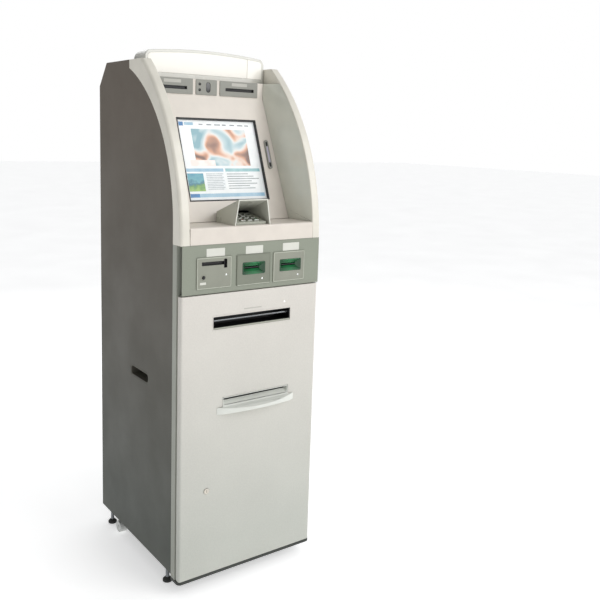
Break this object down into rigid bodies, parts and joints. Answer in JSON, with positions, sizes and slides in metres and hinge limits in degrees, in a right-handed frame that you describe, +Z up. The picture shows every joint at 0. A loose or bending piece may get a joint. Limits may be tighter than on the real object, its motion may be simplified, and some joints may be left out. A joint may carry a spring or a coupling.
{
  "type": "self-service banking terminal",
  "caption": "Free-standing self-service banking terminal with a curved hood, tilted display, hooded keypad, reader band and a hinged front door with document slot and tray.",
  "frame": {"origin": "centre of the footprint on the floor, under the levelling feet", "axes": "+Z up, the customer stands on the -Y side, +X to the customer's right"},
  "size_m": [0.5, 0.6151, 1.661],
  "materials": {
    "plinth": "black powder coat",
    "side_taupe": "fine textured powder coat",
    "frame_grey": "satin enamel",
    "band_grey": "satin enamel",
    "hood_cream": "glossy moulded cover",
    "console_cream": "satin enamel",
    "lining_olive": "semi-gloss moulded lining",
    "door_white": "satin enamel",
    "tray_white": "semi-gloss moulding",
    "reader_grey": "moulded bezel",
    "hood_olive": "moulded privacy hood",
    "black_plastic": "moulded",
    "display_glass": "polished",
    "sign_acrylic": "opal acrylic",
    "zinc_steel": "zinc plated",
    "equipment_case": "moulded and painted cases",
    "paper": "plain paper",
    "foot_grey": "blackened steel",
    "wheel_nylon": "moulded nylon",
    "key_metal": "brushed keys"
  },
  "bodies": {
    "cabinet": {"base_pan": "plinth", "side_panel_left": "side_taupe", "side_panel_right": "side_taupe", "top_cover": "side_taupe", "front_posts": "frame_grey", "band_panel": "band_grey", "shelf_chin": "hood_cream", "cheek_left": "hood_cream", "cheek_right": "hood_cream", "inner_walls": "lining_olive", "console_panel": "console_cream", "monitor": "black_plastic", "touch_glass": "display_glass", "header_housing": "hood_cream", "header_sign": "sign_acrylic", "header_lamp": "sign_acrylic", "upper_reader_left": "reader_grey", "upper_sensor": "reader_grey", "upper_reader_right": "reader_grey", "side_reader": "reader_grey", "keypad_hood": "hood_olive", "keypad_case": "black_plastic", "reader_left": "reader_grey", "reader_centre": "reader_grey", "reader_right": "reader_grey", "handle_cups": "black_plastic", "power_inlet": "black_plastic", "equipment_shelves": "zinc_steel", "computer": "equipment_case", "power_supply": "equipment_case", "printer": "equipment_case", "card_dispenser": "equipment_case", "hinge_pins": "zinc_steel", "fasteners": "zinc_steel"},
    "front_door": {"front_door": "door_white", "document_slot": "black_plastic", "output_tray": "tray_white"},
    "door_lock": {"door_lock": "zinc_steel"},
    "rear_door": {"rear_door": "side_taupe"},
    "rear_lock": {"rear_lock": "zinc_steel"},
    "push_button": {"push_button": "black_plastic"},
    "rocker_switch": {"rocker_switch": "black_plastic"},
    "paper_roll": {"paper_roll": "paper"},
    "transport_wheels": {"transport_wheels": "wheel_nylon"},
    "key_1": {"key_1": "key_metal"},
    "key_2": {"key_2": "key_metal"},
    "key_3": {"key_3": "key_metal"},
    "key_4": {"key_4": "key_metal"},
    "key_5": {"key_5": "key_metal"},
    "key_6": {"key_6": "key_metal"},
    "key_7": {"key_7": "key_metal"},
    "key_8": {"key_8": "key_metal"},
    "key_9": {"key_9": "key_metal"},
    "key_clear": {"key_clear": "key_metal"},
    "key_0": {"key_0": "key_metal"},
    "key_enter": {"key_enter": "key_metal"},
    "foot_front_left": {"foot_front_left": "foot_grey"},
    "foot_front_right": {"foot_front_right": "foot_grey"},
    "foot_rear_left": {"foot_rear_left": "foot_grey"},
    "foot_rear_right": {"foot_rear_right": "foot_grey"}
  },
  "joints": [
    {"name": "front_door_hinge", "type": "hinge", "parent": "cabinet", "child": "front_door", "pos_m": [0.237, -0.2655, 0.05], "axis": [0, 0, 1], "range_deg": [0, 110]},
    {"name": "door_lock_turn", "type": "hinge", "parent": "front_door", "child": "door_lock", "pos_m": [-0.155, -0.2655, 0.323], "axis": [0, 1, 0], "range_deg": [0, 90]},
    {"name": "rear_door_hinge", "type": "hinge", "parent": "cabinet", "child": "rear_door", "pos_m": [0.229, 0.2985, 0.12], "axis": [0, 0, -1], "range_deg": [0, 90]},
    {"name": "rear_lock_turn", "type": "hinge", "parent": "rear_door", "child": "rear_lock", "pos_m": [-0.19, 0.2985, 0.85], "axis": [0, 1, 0], "range_deg": [0, 90]},
    {"name": "push_button_travel", "type": "slide", "parent": "cabinet", "child": "push_button", "axis": [0, 1, 0], "range_m": [0, 0.002], "stiffness_N_per_m": 500, "springref_m": -0.001},
    {"name": "rocker_switch_tilt", "type": "hinge", "parent": "cabinet", "child": "rocker_switch", "pos_m": [0.15, 0.3005, 0.086], "axis": [1, 0, 0], "range_deg": [-16, 0]},
    {"name": "paper_roll_spin", "type": "hinge", "parent": "cabinet", "child": "paper_roll", "pos_m": [0, 0.1345, 0.81], "axis": [1, 0, 0], "continuous": true},
    {"name": "transport_wheels_spin", "type": "hinge", "parent": "cabinet", "child": "transport_wheels", "pos_m": [0, 0.1835, 0.023], "axis": [1, 0, 0], "continuous": true},
    {"name": "key_1_travel", "type": "slide", "parent": "cabinet", "child": "key_1", "axis": [0, 0.1908, -0.9816], "range_m": [0, 0.003], "stiffness_N_per_m": 400, "springref_m": -0.001},
    {"name": "key_2_travel", "type": "slide", "parent": "cabinet", "child": "key_2", "axis": [0, 0.1908, -0.9816], "range_m": [0, 0.003], "stiffness_N_per_m": 400, "springref_m": -0.001},
    {"name": "key_3_travel", "type": "slide", "parent": "cabinet", "child": "key_3", "axis": [0, 0.1908, -0.9816], "range_m": [0, 0.003], "stiffness_N_per_m": 400, "springref_m": -0.001},
    {"name": "key_4_travel", "type": "slide", "parent": "cabinet", "child": "key_4", "axis": [0, 0.1908, -0.9816], "range_m": [0, 0.003], "stiffness_N_per_m": 400, "springref_m": -0.001},
    {"name": "key_5_travel", "type": "slide", "parent": "cabinet", "child": "key_5", "axis": [0, 0.1908, -0.9816], "range_m": [0, 0.003], "stiffness_N_per_m": 400, "springref_m": -0.001},
    {"name": "key_6_travel", "type": "slide", "parent": "cabinet", "child": "key_6", "axis": [0, 0.1908, -0.9816], "range_m": [0, 0.003], "stiffness_N_per_m": 400, "springref_m": -0.001},
    {"name": "key_7_travel", "type": "slide", "parent": "cabinet", "child": "key_7", "axis": [0, 0.1908, -0.9816], "range_m": [0, 0.003], "stiffness_N_per_m": 400, "springref_m": -0.001},
    {"name": "key_8_travel", "type": "slide", "parent": "cabinet", "child": "key_8", "axis": [0, 0.1908, -0.9816], "range_m": [0, 0.003], "stiffness_N_per_m": 400, "springref_m": -0.001},
    {"name": "key_9_travel", "type": "slide", "parent": "cabinet", "child": "key_9", "axis": [0, 0.1908, -0.9816], "range_m": [0, 0.003], "stiffness_N_per_m": 400, "springref_m": -0.001},
    {"name": "key_clear_travel", "type": "slide", "parent": "cabinet", "child": "key_clear", "axis": [0, 0.1908, -0.9816], "range_m": [0, 0.003], "stiffness_N_per_m": 400, "springref_m": -0.001},
    {"name": "key_0_travel", "type": "slide", "parent": "cabinet", "child": "key_0", "axis": [0, 0.1908, -0.9816], "range_m": [0, 0.003], "stiffness_N_per_m": 400, "springref_m": -0.001},
    {"name": "key_enter_travel", "type": "slide", "parent": "cabinet", "child": "key_enter", "axis": [0, 0.1908, -0.9816], "range_m": [0, 0.003], "stiffness_N_per_m": 400, "springref_m": -0.001},
    {"name": "foot_front_left_screw", "type": "slide", "parent": "cabinet", "child": "foot_front_left", "axis": [0, 0, -1], "range_m": [0, 0.02]},
    {"name": "foot_front_right_screw", "type": "slide", "parent": "cabinet", "child": "foot_front_right", "axis": [0, 0, -1], "range_m": [0, 0.02]},
    {"name": "foot_rear_left_screw", "type": "slide", "parent": "cabinet", "child": "foot_rear_left", "axis": [0, 0, -1], "range_m": [0, 0.02]},
    {"name": "foot_rear_right_screw", "type": "slide", "parent": "cabinet", "child": "foot_rear_right", "axis": [0, 0, -1], "range_m": [0, 0.02]}
  ]
}
